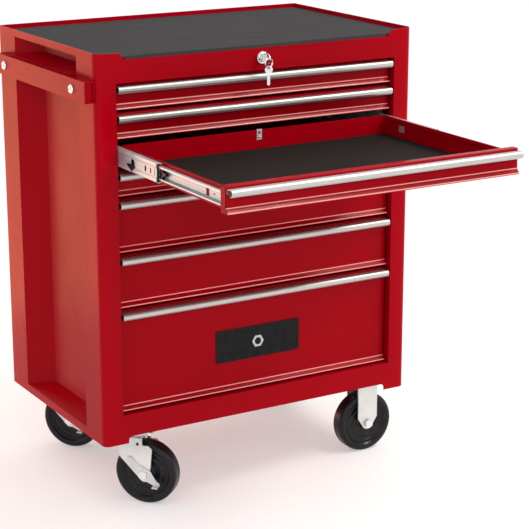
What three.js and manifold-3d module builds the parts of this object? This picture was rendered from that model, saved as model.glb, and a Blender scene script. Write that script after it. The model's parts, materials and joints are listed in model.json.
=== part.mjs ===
// A seven-drawer rolling tool cabinet, in millimetres, +Z up, front towards -Y.
// The third drawer stands open. The origin is on the floor, in the middle of the footprint.
import * as THREE from 'three';
import { mergeVertices } from 'three/addons/utils/BufferGeometryUtils.js';
import Module from 'manifold-3d';

const wasm = await Module();
wasm.setup();

// ---- cabinet ----
const WIDTH = 680;
const DEPTH = 436;
const RIM_TOP = 880;
const FOOT_BOTTOM = 140;
const SHEET = 1.2;
const GAP = 0.4;
const REST_GAP = 0.3;
const HALF = WIDTH / 2;
const POST_WIDTH = 40;
const POST_DEPTH = 16;
const CORNER_RADIUS = 12;
const LIP_TOP = 866;
const EAR_WIDTH = 48;
const RAIL_BOTTOM = 153;
const FOOT_WIDTH = 50;
const FRAME_WRAP = 14;
const EAR_DIP = 2;
const EAR_SLANT = 8;
const NOTCH_DEPTH = 10;
const FOOT_RADIUS = 8;
// How far a cutting solid runs past what it cuts.
const CUT = 1;

// ---- side panels ----
const RECESS_DEPTH = 37;
const RECESS_FRONT = 80;
const RECESS_BACK = 362;
const WALL_FRONT = 118;
const WALL_BACK = 304;
const SIDE_BOTTOM = 155;
const SILL_RISE = 18;
const BAND_BOTTOM = 866.6;
const TRAY_FLOOR = 868.1;
const MAT_THICKNESS = 2.2;
const MAT_EDGE = 1;
const MAT_FRONT = 1.8;
const MAT_NOSE_HALF = 296;
const MAT_DROP_HALF = 284;
const MAT_DROP_BACK = 3.4;
const MAT_DROP_BOTTOM = 864;
const APRON_PLACE = 4;
const APRON_BOTTOM = 862;

// ---- drawers, from the top down ----
const OPENING_TOP = 824;
const PITCHES = [53, 53, 53, 53, 106, 106, 203];
const OPEN_DRAWER = 2;
const TRAVEL = 406;
const PANEL_INSET = 16;
const PANEL_HALF = 298;
const PANEL_GAP = 3;
const PANEL_THICKNESS = 16;
const LIP_PROUD = 6;
const LIP_HEIGHT = 10;
const LIP_EDGE = 2.5;
const BOX_HALF = 287.5;
const BOX_BACK = 416;
const BOX_RAISE = 6;
const BOX_HEADROOM = 14;
const PULL_HEIGHT = 13;
const PULL_PROUD = 19;
const PULL_HALF = 296;
const PULL_DROP = 3.5;
const PULL_SHEET = 1.8;
const PULL_FLANGE = 9;
const PULL_CORNER = 1.5;
const PULL_TOP_RADIUS = 5;
const PULL_LOW_RADIUS = 4;
const PULL_RETURN = 7;
const HEM = 3;
const DRAWER_MAT_THICKNESS = 2;

// ---- drawer slides ----
const SLIDE_RISE = 26;
const OUTER_HEIGHT = 45;
const MIDDLE_HEIGHT = 35;
const INNER_HEIGHT = 25;
const SLIDE_WALL = HALF - RECESS_DEPTH - SHEET - REST_GAP;
const SLIDE_FRONT = 40;
const MIDDLE_FRONT = 50;
const SLIDE_BACK = 410;
const INNER_FRONT = 36;
const INNER_BACK = 405;
const INNER_REACH = 8.8;
const MIDDLE_REACH = 9.3;
const OUTER_REACH = 11;
const MEMBER_GAP = 1.5;
const UPRIGHT_WIDTH = 30;
const UPRIGHT_PLACES = [130, 262];
const UPRIGHT_MARGIN = 30;

// ---- push handle on the left side ----
const HANDLE_PROUD = 19.5;
const HANDLE_FRONT = 5;
const HANDLE_BACK = 407;
const HANDLE_BOTTOM = 792;
const HANDLE_TOP = 831;
const HANDLE_SHEET = 1.5;
const BOLT_PLACES = [60, 370];
const BOLT_HEAD_RADIUS = 8.5;
const BOLT_HEAD_HEIGHT = 5;
const BOLT_RADIUS = 3.5;
const BOLT_HOLE_RADIUS = 4.2;
const FINGER_GAP_INSET = 10;
const FINGER_GAP_MARGIN = 6;
const SHELF_OUTER = 832;
const SHELF_INNER = 841;
const SHELF_GAP = 0.8;
const EAVE_MARGIN = 4;

// ---- lock and keys ----
const LOCK_HEIGHT = 848;
const LOCK_RADIUS = 11.5;
const LOCK_BODY_RADIUS = 9;
const LOCK_FRONT = -4;
const LOCK_BACK = 23;
const LOCK_CLEARANCE = 0.5;
const BARREL_RADIUS = 6;
const BARREL_FRONT = -4.5;
const BARREL_BACK = 26;
const KEYWAY_DEPTH = 15;
const KEYWAY_HALF = 4;
const KEY_BOW_RADIUS = 10;
const KEY_THICKNESS = 1.8;
const KEY_CENTRE = -21;
const KEY_BLADE_END = 34;
const KEY_BLADE_HALF = 3.2;
const KEY_HOLE_RADIUS = 3;
const KEY_HOLE_PLACE = -6;
const CAM_BACK = 26.5;
const CAM_THICKNESS = 2;
const CAM_HALF = 5;
const CAM_LENGTH = 20;
const ROD_RADIUS = 3;
const CRANK_HALF = 4;
const CRANK_BACK = 423;
const CRANK_RADIUS = 8;
const CRANK_PIN_RADIUS = 2;
const BAR_LEFT = -6;
const BAR_RIGHT = 14;
const BAR_THICKNESS = 2;
const HOOK_LIFT = 8;
const HOOK_HALF = 5;
const HOOK_REACH = 8;
const HOOK_CLEARANCE = 1.5;

// ---- castors ----
const CASTOR_TOP = RAIL_BOTTOM - GAP;
const WHEEL_RADIUS = 62.5;
const WHEEL_WIDTH = 32;
const AXLE_RADIUS = 6;
const AXLE_HEAD_RADIUS = 9;
const AXLE_HEAD_HEIGHT = 4;
const AXLE_HEAD_GAP = 3;
const PLATE_HALF_LENGTH = 38;
const PLATE_HALF_DEPTH = 30;
const PLATE_SHEET = 3;
const CROWN_DROP = 14;
const CROWN_BACK = -26;
const CROWN_FRONT = 13;
const SHOULDER_BACK = -37;
const SHOULDER_FRONT = 34;
const RACE_RADIUS = 23;
const KINGPIN_RADIUS = 6;
const KINGPIN_CLEARANCE = 0.6;
const CHEEK_RADIUS = 13;
const CHEEK_HALF = 23;
const CHEEK_TAPER = 12;
const LEVER_SHEET = 2.5;
const LEVER_RADIUS = 12;
const EAR_RADIUS = 8;
const PEDAL_WIDTH = 12;
const TRAIL = 16;
const SWIVEL_X = -246;
const SWIVEL_YS = [44, 384];
const SWIVEL_TURN = Math.atan2(-0.77, 0.64);
const RIGID_X = 270;
const RIGID_YS = [49, 382];
const FORK_SHEET = 3;
const FORK_INSIDE = 19;
const FORK_OUTSIDE = FORK_INSIDE + FORK_SHEET;

// ---- nameplate ----
const PLATE_WIDTH = 187;
const PLATE_HEIGHT = 65;
const PLATE_BOTTOM = 258;
const PLATE_PROUD = 1.6;

const RED = { color: 0xa00016, roughness: 0.35, metalness: 0.1 };
const ALUMINIUM = { color: 0xd8d6d0, roughness: 0.35, metalness: 0.9 };
const ZINC = { color: 0xd5d6d6, roughness: 0.4, metalness: 0.8 };
const CHROME = { color: 0xe2e2e2, roughness: 0.12, metalness: 1 };
const RUBBER_MAT = { color: 0x3c3a3a, roughness: 0.9, metalness: 0 };
const BLACK_RUBBER = { color: 0x1c1b1d, roughness: 0.7, metalness: 0 };
const BLACK_PLASTIC = { color: 0x151515, roughness: 0.4, metalness: 0 };

const cabinet = new THREE.Group();

// ---- solids ----
function solid(geometry) {
  const bare = geometry.clone();
  bare.deleteAttribute('normal');
  bare.deleteAttribute('uv');
  const merged = mergeVertices(bare, 1e-4);
  return new wasm.Manifold(new wasm.Mesh({
    numProp: 3,
    vertProperties: new Float32Array(merged.attributes.position.array),
    triVerts: new Uint32Array(merged.index.array),
  }));
}

function shapeOf(points) {
  return new THREE.Shape(points.map(([u, v]) => new THREE.Vector2(u, v)));
}

function extruded(shape, length) {
  return new THREE.ExtrudeGeometry(shape, { depth: length, bevelEnabled: false, curveSegments: 6 });
}

function alongZ(points, z0, z1) {
  return solid(extruded(shapeOf(points), z1 - z0).translate(0, 0, z0));
}

// The outline is in Y and Z.
function alongX(points, x0, x1) {
  const turn = new THREE.Matrix4().makeBasis(
    new THREE.Vector3(0, 1, 0), new THREE.Vector3(0, 0, 1), new THREE.Vector3(1, 0, 0));
  return solid(extruded(shapeOf(points), x1 - x0).applyMatrix4(turn).translate(x0, 0, 0));
}

// The outline is in X and Z.
function alongY(points, y0, y1) {
  return solid(extruded(shapeOf(points), y1 - y0).rotateX(Math.PI / 2).translate(0, y1, 0));
}

function box(x0, x1, y0, y1, z0, z1) {
  const [left, right] = x0 < x1 ? [x0, x1] : [x1, x0];
  const block = new THREE.BoxGeometry(right - left, y1 - y0, z1 - z0);
  return solid(block.translate((left + right) / 2, (y0 + y1) / 2, (z0 + z1) / 2));
}

// A cylinder along Y, or along X or Z when the axis says so.
function rod(radius, x, z, y0, y1, axis = 'y', sides = 20) {
  const drum = new THREE.CylinderGeometry(radius, radius, y1 - y0, sides);
  const middle = (y0 + y1) / 2;
  if (axis === 'x') return solid(drum.rotateZ(Math.PI / 2).translate(middle, x, z));
  if (axis === 'z') return solid(drum.rotateX(Math.PI / 2).translate(x, z, middle));
  return solid(drum.translate(x, middle, z));
}

function joined(...pieces) {
  return pieces.reduce((whole, piece) => whole.add(piece));
}

function arc(centreU, centreV, radius, from, to, steps) {
  const points = [];
  for (let i = 0; i <= steps; i += 1) {
    const angle = THREE.MathUtils.degToRad(from + (to - from) * i / steps);
    points.push([centreU + radius * Math.cos(angle), centreV + radius * Math.sin(angle)]);
  }
  return points;
}

// The closed outline of a folded sheet: a path and its copy moved to the left by the thickness.
function sheet(path, thickness) {
  const moved = path.map((point, i) => {
    const here = new THREE.Vector2(...point);
    const before = i > 0 ? here.clone().sub(new THREE.Vector2(...path[i - 1])).normalize() : null;
    const after = i < path.length - 1
      ? new THREE.Vector2(...path[i + 1]).sub(here).normalize() : null;
    const a = before ?? after;
    const b = after ?? before;
    const across = new THREE.Vector2(-a.y - b.y, a.x + b.x);
    const reach = thickness / (1 + a.dot(b));
    return [here.x + across.x * reach, here.y + across.y * reach];
  });
  return [...path, ...moved.reverse()];
}

function addPart(name, shape, look, group = cabinet) {
  const mesh = shape.getMesh();
  const geometry = new THREE.BufferGeometry();
  geometry.setAttribute('position', new THREE.BufferAttribute(new Float32Array(mesh.vertProperties), 3));
  geometry.setIndex(new THREE.BufferAttribute(new Uint32Array(mesh.triVerts), 1));
  geometry.computeVertexNormals();
  const part = new THREE.Mesh(geometry, new THREE.MeshStandardMaterial(look));
  part.name = name;
  group.add(part);
}

// ---- front frame: both posts, the header above the drawers and the rail below them ----
function frontFrame() {
  const inner = HALF - POST_WIDTH;
  const openingBottom = OPENING_TOP - PITCHES.reduce((sum, pitch) => sum + pitch, 0);
  const left = arc(CORNER_RADIUS - HALF, CORNER_RADIUS, CORNER_RADIUS, 180, 270, 5);
  const right = left.map(([x, y]) => [-x, y]).reverse();
  const skin = alongZ(sheet([[-HALF, FRAME_WRAP], ...left, ...right, [HALF, FRAME_WRAP]], SHEET),
    FOOT_BOTTOM, RIM_TOP);
  const earEnd = HALF - EAR_WIDTH;
  const notch = alongY([[-HALF - CUT, RIM_TOP + CUT], [-HALF, RIM_TOP], [-earEnd, RIM_TOP - EAR_DIP],
    [-earEnd + EAR_SLANT, LIP_TOP], [earEnd - EAR_SLANT, LIP_TOP], [earEnd, RIM_TOP - EAR_DIP],
    [HALF, RIM_TOP], [HALF + CUT, RIM_TOP + CUT]], -CUT, NOTCH_DEPTH);
  const footEnd = HALF - FOOT_WIDTH;
  const archTop = RAIL_BOTTOM - FOOT_RADIUS;
  const arch = alongY([[-footEnd, FOOT_BOTTOM - CUT],
    ...arc(-footEnd + FOOT_RADIUS, archTop, FOOT_RADIUS, 180, 90, 4),
    ...arc(footEnd - FOOT_RADIUS, archTop, FOOT_RADIUS, 90, 0, 4), [footEnd, FOOT_BOTTOM - CUT]],
  -CUT, FRAME_WRAP);
  const opening = box(-inner, inner, -CUT, POST_DEPTH + CUT, openingBottom, OPENING_TOP);
  const lining = box(-inner - SHEET, inner + SHEET, SHEET / 2, POST_DEPTH,
    openingBottom - SHEET, OPENING_TOP + SHEET);
  const lockHole = rod(LOCK_BODY_RADIUS + LOCK_CLEARANCE, 0, LOCK_HEIGHT, -CUT, SHEET + CUT);
  return skin.subtract(notch).subtract(arch).add(lining).subtract(opening).subtract(lockHole);
}

// ---- one side: a pressed panel with a tall recess, closed above and below ----
function sidePanel(side) {
  const outer = side * HALF;
  const inner = side * (HALF - RECESS_DEPTH);
  const thickness = side * SHEET;
  const start = FRAME_WRAP + GAP;
  const end = DEPTH - SHEET - GAP;
  const plan = [[outer, start], [outer, RECESS_FRONT], [inner, WALL_FRONT], [inner, WALL_BACK],
    [outer, RECESS_BACK], [outer, end]];
  const wall = alongZ(sheet(plan, thickness), SIDE_BOTTOM, BAND_BOTTOM + SHEET);
  const band = box(outer, outer - thickness, start, end, BAND_BOTTOM, RIM_TOP);
  const strip = box(outer, outer - thickness, start, end, FOOT_BOTTOM, SIDE_BOTTOM + SHEET);
  const lid = box(outer, inner - thickness, RECESS_FRONT, RECESS_BACK, BAND_BOTTOM, BAND_BOTTOM + SHEET);
  const sillEnd = inner - thickness / 2;
  const sill = alongY([[outer, SIDE_BOTTOM], [outer, SIDE_BOTTOM + SHEET],
    [sillEnd, SIDE_BOTTOM + SILL_RISE + SHEET], [sillEnd, SIDE_BOTTOM + SILL_RISE]],
  RECESS_FRONT, RECESS_BACK);
  return joined(wall, band, strip, lid, sill);
}

// ---- the tray on top, with a turned-down front edge, and its mat ----
function topPanel() {
  const half = HALF - SHEET - GAP;
  const back = DEPTH - SHEET - GAP;
  const plate = box(-half, half, FRAME_WRAP + GAP, back, TRAY_FLOOR, TRAY_FLOOR + SHEET);
  const frontHalf = HALF - CORNER_RADIUS;
  const nose = box(-frontHalf, frontHalf, APRON_PLACE, FRAME_WRAP + CUT, TRAY_FLOOR, TRAY_FLOOR + SHEET);
  const apron = box(-frontHalf, frontHalf, APRON_PLACE, APRON_PLACE + SHEET,
    APRON_BOTTOM, TRAY_FLOOR + SHEET / 2);
  return joined(plate, nose, apron);
}

function topMat() {
  const half = HALF - SHEET - MAT_EDGE;
  const back = DEPTH - SHEET - MAT_EDGE;
  const bottom = TRAY_FLOOR + SHEET + REST_GAP;
  const top = bottom + MAT_THICKNESS;
  const flat = box(-half, half, FRAME_WRAP, back, bottom, top);
  const nose = box(-MAT_NOSE_HALF, MAT_NOSE_HALF, MAT_FRONT, FRAME_WRAP + CUT, bottom, top);
  const drop = box(-MAT_DROP_HALF, MAT_DROP_HALF, MAT_FRONT, MAT_DROP_BACK, MAT_DROP_BOTTOM, top - CUT);
  return joined(flat, nose, drop);
}

// ---- drawers ----
function drawerPlace(index) {
  const above = PITCHES.slice(0, index).reduce((sum, pitch) => sum + pitch, 0);
  const top = OPENING_TOP - above;
  return {
    bottom: top - PITCHES[index],
    panelTop: top - PANEL_GAP,
    panelBottom: top - PITCHES[index] + PANEL_GAP,
    slide: top - PITCHES[index] + SLIDE_RISE,
    boxTop: top - BOX_HEADROOM + BOX_RAISE,
    shift: index === OPEN_DRAWER ? -TRAVEL : 0,
  };
}

// The folded front: flat above, with a flared lip at its lower edge, and closed ends.
function drawerFront(place) {
  const face = PANEL_INSET;
  const back = PANEL_INSET + PANEL_THICKNESS;
  const lip = face - LIP_PROUD;
  const lipTop = place.panelBottom + LIP_HEIGHT;
  const outline = [[back, place.panelTop], [face, place.panelTop], [face, lipTop],
    [lip, place.panelBottom + LIP_EDGE], [lip, place.panelBottom], [back, place.panelBottom]];
  const shell = alongX(outline, -PANEL_HALF, PANEL_HALF);
  const hollow = alongX([[back + CUT, place.panelTop - SHEET], [face + SHEET, place.panelTop - SHEET],
    [face + SHEET, lipTop + SHEET / 2], [lip + SHEET, place.panelBottom + LIP_EDGE + SHEET / 2],
    [lip + SHEET, place.panelBottom + SHEET], [back + CUT, place.panelBottom + SHEET]],
  -PANEL_HALF + SHEET, PANEL_HALF - SHEET);
  return shell.subtract(hollow);
}

function drawerBox(index) {
  const place = drawerPlace(index);
  const floor = place.bottom + BOX_RAISE;
  const front = PANEL_INSET + SHEET / 2;
  const outside = box(-BOX_HALF, BOX_HALF, front, BOX_BACK, floor, place.boxTop);
  const inside = box(-BOX_HALF + SHEET, BOX_HALF - SHEET, PANEL_INSET + SHEET, BOX_BACK - SHEET,
    floor + SHEET, place.panelTop + CUT);
  const hems = [-1, 1].map((side) => {
    const edge = side * (BOX_HALF - SHEET);
    return box(edge, edge - side * HEM, front, BOX_BACK - SHEET / 2, place.boxTop - SHEET, place.boxTop);
  });
  return joined(drawerFront(place), ...hems, outside.subtract(inside));
}

function pull(index) {
  const top = drawerPlace(index).panelTop - PULL_DROP;
  const bottom = top - PULL_HEIGHT;
  const nose = PANEL_INSET - PULL_PROUD;
  const foot = PANEL_INSET - GAP;
  const path = [[foot, top - PULL_FLANGE], [foot, top - PULL_CORNER],
    ...arc(nose + PULL_TOP_RADIUS, top - PULL_TOP_RADIUS, PULL_TOP_RADIUS, 90, 180, 4),
    [nose, bottom + PULL_LOW_RADIUS],
    ...arc(nose + PULL_LOW_RADIUS, bottom + PULL_LOW_RADIUS, PULL_LOW_RADIUS, 180, 270, 3),
    [nose + PULL_RETURN, bottom]];
  return alongX(sheet(path, PULL_SHEET), -PULL_HALF, PULL_HALF);
}

// ---- slides: an outer member on the cabinet, a middle one between, an inner one on the drawer ----
function channel(side, web, flanges, slide, height, y0, y1) {
  const outside = box(side * web, side * flanges, y0, y1, slide - height / 2, slide + height / 2);
  const turn = web > flanges ? -1 : 1;
  const hollow = box(side * (web + turn * SHEET), side * (flanges + turn * CUT), y0 - CUT, y1 + CUT,
    slide - height / 2 + SHEET, slide + height / 2 - SHEET);
  return outside.subtract(hollow);
}

function slideRack(side) {
  const first = drawerPlace(PITCHES.length - 1).slide;
  const last = drawerPlace(0).slide;
  const uprights = UPRIGHT_PLACES.map((y) => box(side * SLIDE_WALL, side * (SLIDE_WALL - SHEET),
    y, y + UPRIGHT_WIDTH, first - UPRIGHT_MARGIN, last + UPRIGHT_MARGIN));
  const members = PITCHES.map((_, index) => channel(side, SLIDE_WALL, SLIDE_WALL - OUTER_REACH,
    drawerPlace(index).slide, OUTER_HEIGHT, SLIDE_FRONT, SLIDE_BACK));
  return joined(...uprights, ...members);
}

function middleMember(index, side) {
  const web = SLIDE_WALL - SHEET - MEMBER_GAP;
  const { slide } = drawerPlace(index);
  return channel(side, web, web - MIDDLE_REACH, slide, MIDDLE_HEIGHT, MIDDLE_FRONT, SLIDE_BACK);
}

// An inner member with its web against the drawer's side, or sunk into it.
function innerMember(index, side, web) {
  const { slide } = drawerPlace(index);
  return channel(side, web, BOX_HALF + INNER_REACH, slide, INNER_HEIGHT, INNER_FRONT, INNER_BACK);
}

// A closed drawer's inner members are one body with its box.
function boxWithMembers(index) {
  const members = [-1, 1].map((side) => innerMember(index, side, BOX_HALF - SHEET / 2));
  return joined(drawerBox(index), ...members);
}

function buildDrawers() {
  PITCHES.forEach((_, index) => {
    const place = drawerPlace(index);
    const drawer = new THREE.Group();
    drawer.position.y = place.shift;
    cabinet.add(drawer);
    const middle = new THREE.Group();
    middle.position.y = place.shift / 2;
    cabinet.add(middle);
    const number = index + 1;
    const open = index === OPEN_DRAWER;
    addPart(`drawer_${number}_box`, open ? drawerBox(index) : boxWithMembers(index), RED, drawer);
    addPart(`drawer_${number}_pull`, pull(index), ALUMINIUM, drawer);
    addPart(`drawer_${number}_middle_slide_left`, middleMember(index, -1), ZINC, middle);
    if (open) {
      const floor = place.bottom + BOX_RAISE + SHEET + REST_GAP;
      const edge = BOX_HALF - SHEET - MAT_EDGE;
      const web = BOX_HALF + REST_GAP;
      addPart(`drawer_${number}_middle_slide_right`, middleMember(index, 1), ZINC, middle);
      addPart(`drawer_${number}_inner_slide_left`, innerMember(index, -1, web), ZINC, drawer);
      addPart(`drawer_${number}_inner_slide_right`, innerMember(index, 1, web), ZINC, drawer);
      addPart(`drawer_${number}_mat`, box(-edge, edge, PANEL_INSET + SHEET + MAT_EDGE,
        BOX_BACK - SHEET - MAT_EDGE, floor, floor + DRAWER_MAT_THICKNESS), RUBBER_MAT, drawer);
    }
    if (number === PITCHES.length) {
      addPart('nameplate', box(-PLATE_WIDTH / 2, PLATE_WIDTH / 2, PANEL_INSET - PLATE_PROUD,
        PANEL_INSET - GAP, PLATE_BOTTOM, PLATE_BOTTOM + PLATE_HEIGHT), BLACK_PLASTIC, drawer);
    }
  });
}

// ---- push handle, its shelf and bolts ----
function sideHandle() {
  const face = -HALF - HANDLE_PROUD;
  const root = -HALF - GAP;
  const shell = box(face, root, HANDLE_FRONT, HANDLE_BACK, HANDLE_BOTTOM, HANDLE_TOP);
  const hollow = box(face + HANDLE_SHEET, root + CUT, HANDLE_FRONT + HANDLE_SHEET, HANDLE_BACK - HANDLE_SHEET,
    HANDLE_BOTTOM + HANDLE_SHEET, HANDLE_TOP - HANDLE_SHEET);
  const fingerGap = box(face + FINGER_GAP_INSET, root + CUT, RECESS_FRONT + FINGER_GAP_MARGIN,
    RECESS_BACK - FINGER_GAP_MARGIN, HANDLE_BOTTOM - CUT, HANDLE_BOTTOM + HANDLE_SHEET + CUT);
  const height = (HANDLE_BOTTOM + HANDLE_TOP) / 2;
  const holes = BOLT_PLACES.map((y) => rod(BOLT_HOLE_RADIUS, y, height,
    face - CUT, face + HANDLE_SHEET + CUT, 'x'));
  return shell.subtract(hollow).subtract(fingerGap).subtract(joined(...holes));
}

// A domed head that rests on the handle, and a shank that runs to the cabinet's side.
function handleBolt(y) {
  const face = -HALF - HANDLE_PROUD - REST_GAP;
  const height = (HANDLE_BOTTOM + HANDLE_TOP) / 2;
  const dome = arc(0, 0, BOLT_HEAD_RADIUS, 0, 72, 4).map(
    ([r, h]) => new THREE.Vector2(r, h * BOLT_HEAD_HEIGHT / BOLT_HEAD_RADIUS));
  const profile = [new THREE.Vector2(0, 0), ...dome, new THREE.Vector2(0, BOLT_HEAD_HEIGHT)];
  const head = solid(new THREE.LatheGeometry(profile, 20).rotateZ(Math.PI / 2).translate(face, y, height));
  return head.add(rod(BOLT_RADIUS, y, height, face - REST_GAP, -HALF - GAP, 'x'));
}

// The shelf slopes up into the recess, and its eave runs out over the handle.
function gripShelf() {
  const eaveEnd = -HALF - HANDLE_PROUD / 2;
  const inner = HALF - RECESS_DEPTH + GAP;
  const slope = alongY([[-HALF, SHELF_OUTER], [-HALF, SHELF_OUTER + SHEET], [-inner, SHELF_INNER + SHEET],
    [-inner, SHELF_INNER]], 0, DEPTH);
  const eave = box(eaveEnd, -HALF + CUT, RECESS_FRONT + EAVE_MARGIN, RECESS_BACK - EAVE_MARGIN,
    SHELF_OUTER, SHELF_OUTER + SHEET);
  const plan = alongZ([[-HALF - CUT, RECESS_FRONT + SHELF_GAP], [-HALF, RECESS_FRONT + SHELF_GAP],
    [-inner, WALL_FRONT + SHELF_GAP], [-inner, WALL_BACK - SHELF_GAP], [-HALF, RECESS_BACK - SHELF_GAP],
    [-HALF - CUT, RECESS_BACK - SHELF_GAP]], SHELF_OUTER - CUT, SHELF_INNER + SHEET + CUT);
  return slope.intersect(plan).add(eave);
}

// ---- lock ----
function lockHousing() {
  const flange = rod(LOCK_RADIUS, 0, LOCK_HEIGHT, LOCK_FRONT, -GAP, 'y', 28);
  const body = rod(LOCK_BODY_RADIUS, 0, LOCK_HEIGHT, -CUT, LOCK_BACK, 'y', 28);
  const bore = rod(BARREL_RADIUS + LOCK_CLEARANCE, 0, LOCK_HEIGHT,
    LOCK_FRONT - CUT, LOCK_BACK + CUT, 'y', 28);
  return flange.add(body).subtract(bore);
}

function lockBarrel() {
  const drum = rod(BARREL_RADIUS, 0, LOCK_HEIGHT, BARREL_FRONT, BARREL_BACK, 'y', 24);
  const cam = box(-CAM_HALF, CAM_LENGTH, CAM_BACK - CAM_THICKNESS, CAM_BACK,
    LOCK_HEIGHT - CAM_HALF, LOCK_HEIGHT + CAM_HALF);
  const half = KEY_THICKNESS / 2 + GAP;
  const keyway = box(-half, half, BARREL_FRONT - CUT, KEYWAY_DEPTH,
    LOCK_HEIGHT - KEYWAY_HALF, LOCK_HEIGHT + KEYWAY_HALF);
  return drum.add(cam).subtract(keyway);
}

// A flat key in the YZ plane, pointing to +Y, with a hole at the far end of its bow.
function flatKey() {
  const half = KEY_THICKNESS / 2;
  const bow = rod(KEY_BOW_RADIUS, 0, 0, -half, half, 'x', 20);
  const blade = box(-half, half, KEY_BOW_RADIUS - 2, KEY_BLADE_END, -KEY_BLADE_HALF, KEY_BLADE_HALF);
  const hole = rod(KEY_HOLE_RADIUS, KEY_HOLE_PLACE, 0, -half - CUT, half + CUT, 'x', 12);
  return bow.add(blade).subtract(hole);
}

// A rod from the lock to the back, with a crank whose pin lifts and lowers the locking bar.
function lockRod() {
  const shaft = rod(ROD_RADIUS, 0, LOCK_HEIGHT, CAM_BACK + GAP, CRANK_BACK, 'y', 12);
  const crank = box(-CRANK_HALF, CRANK_RADIUS + CRANK_HALF, CRANK_BACK - SHEET, CRANK_BACK,
    LOCK_HEIGHT - CRANK_HALF, LOCK_HEIGHT + CRANK_HALF);
  const pin = rod(CRANK_PIN_RADIUS, CRANK_RADIUS, LOCK_HEIGHT,
    CRANK_BACK - SHEET / 2, CRANK_BACK + 5, 'y', 12);
  return joined(shaft, crank, pin);
}

// The locking bar stands behind the drawers. Each of its hooks drops behind one drawer's back wall.
function lockBar() {
  const front = CRANK_BACK + 1;
  const back = front + BAR_THICKNESS;
  const foot = drawerPlace(PITCHES.length - 1).boxTop - 6;
  const bar = box(BAR_LEFT, BAR_RIGHT, front, back, foot, LOCK_HEIGHT + 10);
  const play = CRANK_PIN_RADIUS + 0.6;
  const slot = box(-play, CRANK_RADIUS + play, front - CUT, back + CUT,
    LOCK_HEIGHT - 4.4, LOCK_HEIGHT + play);
  const hooks = PITCHES.map((_, index) => {
    const top = drawerPlace(index).boxTop;
    const armBottom = top + HOOK_LIFT + 1;
    const tipFront = BOX_BACK - HOOK_REACH;
    const arm = box(-HOOK_HALF, HOOK_HALF, tipFront, front + 0.5, armBottom, armBottom + BAR_THICKNESS);
    const tip = box(-HOOK_HALF, HOOK_HALF, tipFront, tipFront + BAR_THICKNESS,
      top + HOOK_CLEARANCE, armBottom + CUT);
    return arm.add(tip);
  });
  return joined(bar, ...hooks).subtract(slot);
}

// ---- castors, each round its own vertical axis with its wheel on the +X side ----
function wheel(group, name, offset) {
  const half = WHEEL_WIDTH / 2;
  const side = [[AXLE_RADIUS + GAP, half + 2], [14, half + 2], [16, half - 2], [30, half - 6], [44, half - 5],
    [50, half - 1], [57, half], [WHEEL_RADIUS - 2, half - 3], [WHEEL_RADIUS, half - 8]];
  const profile = [...side.map(([r, w]) => [r, -w]), ...side.reverse(), [side.at(-1)[0], -side.at(-1)[1]]];
  const lathe = new THREE.LatheGeometry(profile.map(([r, w]) => new THREE.Vector2(r, w)), 40);
  addPart(name, solid(lathe.translate(offset, 0, WHEEL_RADIUS)), BLACK_RUBBER, group);
}

function axle(group, name, offset) {
  const inside = FORK_OUTSIDE + REST_GAP + AXLE_HEAD_GAP;
  const outside = inside + AXLE_HEAD_HEIGHT;
  const shaft = rod(AXLE_RADIUS - GAP / 2, offset, WHEEL_RADIUS, -outside + CUT, outside - CUT);
  const heads = [[-outside, -inside], [inside, outside]].map(([y0, y1]) => rod(AXLE_HEAD_RADIUS, offset,
    WHEEL_RADIUS, y0, y1, 'y', 6));
  addPart(name, joined(shaft, ...heads), CHROME, group);
}

function forkCheek(outline, side) {
  const y0 = side > 0 ? FORK_INSIDE : -FORK_OUTSIDE;
  return alongY(outline, y0, y0 + FORK_SHEET);
}

function topPlate() {
  return box(-PLATE_HALF_LENGTH, PLATE_HALF_LENGTH, -PLATE_HALF_DEPTH, PLATE_HALF_DEPTH,
    CASTOR_TOP - PLATE_SHEET, CASTOR_TOP);
}

function axleHole(offset) {
  return rod(AXLE_RADIUS + GAP, offset, WHEEL_RADIUS, -FORK_OUTSIDE - CUT, FORK_OUTSIDE + CUT);
}

function swivelFork() {
  const top = CASTOR_TOP - CROWN_DROP;
  const crown = box(CROWN_BACK, CROWN_FRONT, -FORK_OUTSIDE, FORK_OUTSIDE, top - FORK_SHEET, top);
  const kingpin = rod(KINGPIN_RADIUS, 0, 0, top - CUT, CASTOR_TOP - CUT, 'z', 16);
  const outline = [[CROWN_BACK, top], [SHOULDER_BACK, top - 24], [SHOULDER_BACK + 3, top - 44],
    ...arc(TRAIL, WHEEL_RADIUS, CHEEK_RADIUS, 215, 380, 6), [SHOULDER_FRONT, top - 24],
    [SHOULDER_FRONT - 8, top - 17], [CROWN_FRONT, top - 17], [CROWN_FRONT, top]];
  const cheeks = [-1, 1].map((side) => forkCheek(outline, side));
  return joined(crown, kingpin, ...cheeks).subtract(axleHole(TRAIL));
}

// The brake's foot lever turns on the axle, outside the fork.
function brakeLever() {
  const plane = -FORK_OUTSIDE - REST_GAP;
  const outline = [...arc(TRAIL - 28, WHEEL_RADIUS + 26, EAR_RADIUS, 60, 230, 4),
    [TRAIL - 16, WHEEL_RADIUS + 6], ...arc(TRAIL + 3, WHEEL_RADIUS - 2, LEVER_RADIUS, 215, 290, 3),
    [TRAIL + 30, WHEEL_RADIUS - 23], [TRAIL + 35, WHEEL_RADIUS - 18], [TRAIL + 24, WHEEL_RADIUS - 6],
    [TRAIL + 15, WHEEL_RADIUS + 9], [TRAIL - 8, WHEEL_RADIUS + 18]];
  const lever = alongY(outline, plane - LEVER_SHEET, plane);
  const pedal = box(TRAIL + 22, TRAIL + 33, plane - PEDAL_WIDTH, plane - LEVER_SHEET / 2,
    WHEEL_RADIUS - 22, WHEEL_RADIUS - 19);
  return lever.add(pedal).subtract(axleHole(TRAIL).translate([0, -LEVER_SHEET - CUT, 0]));
}

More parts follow.
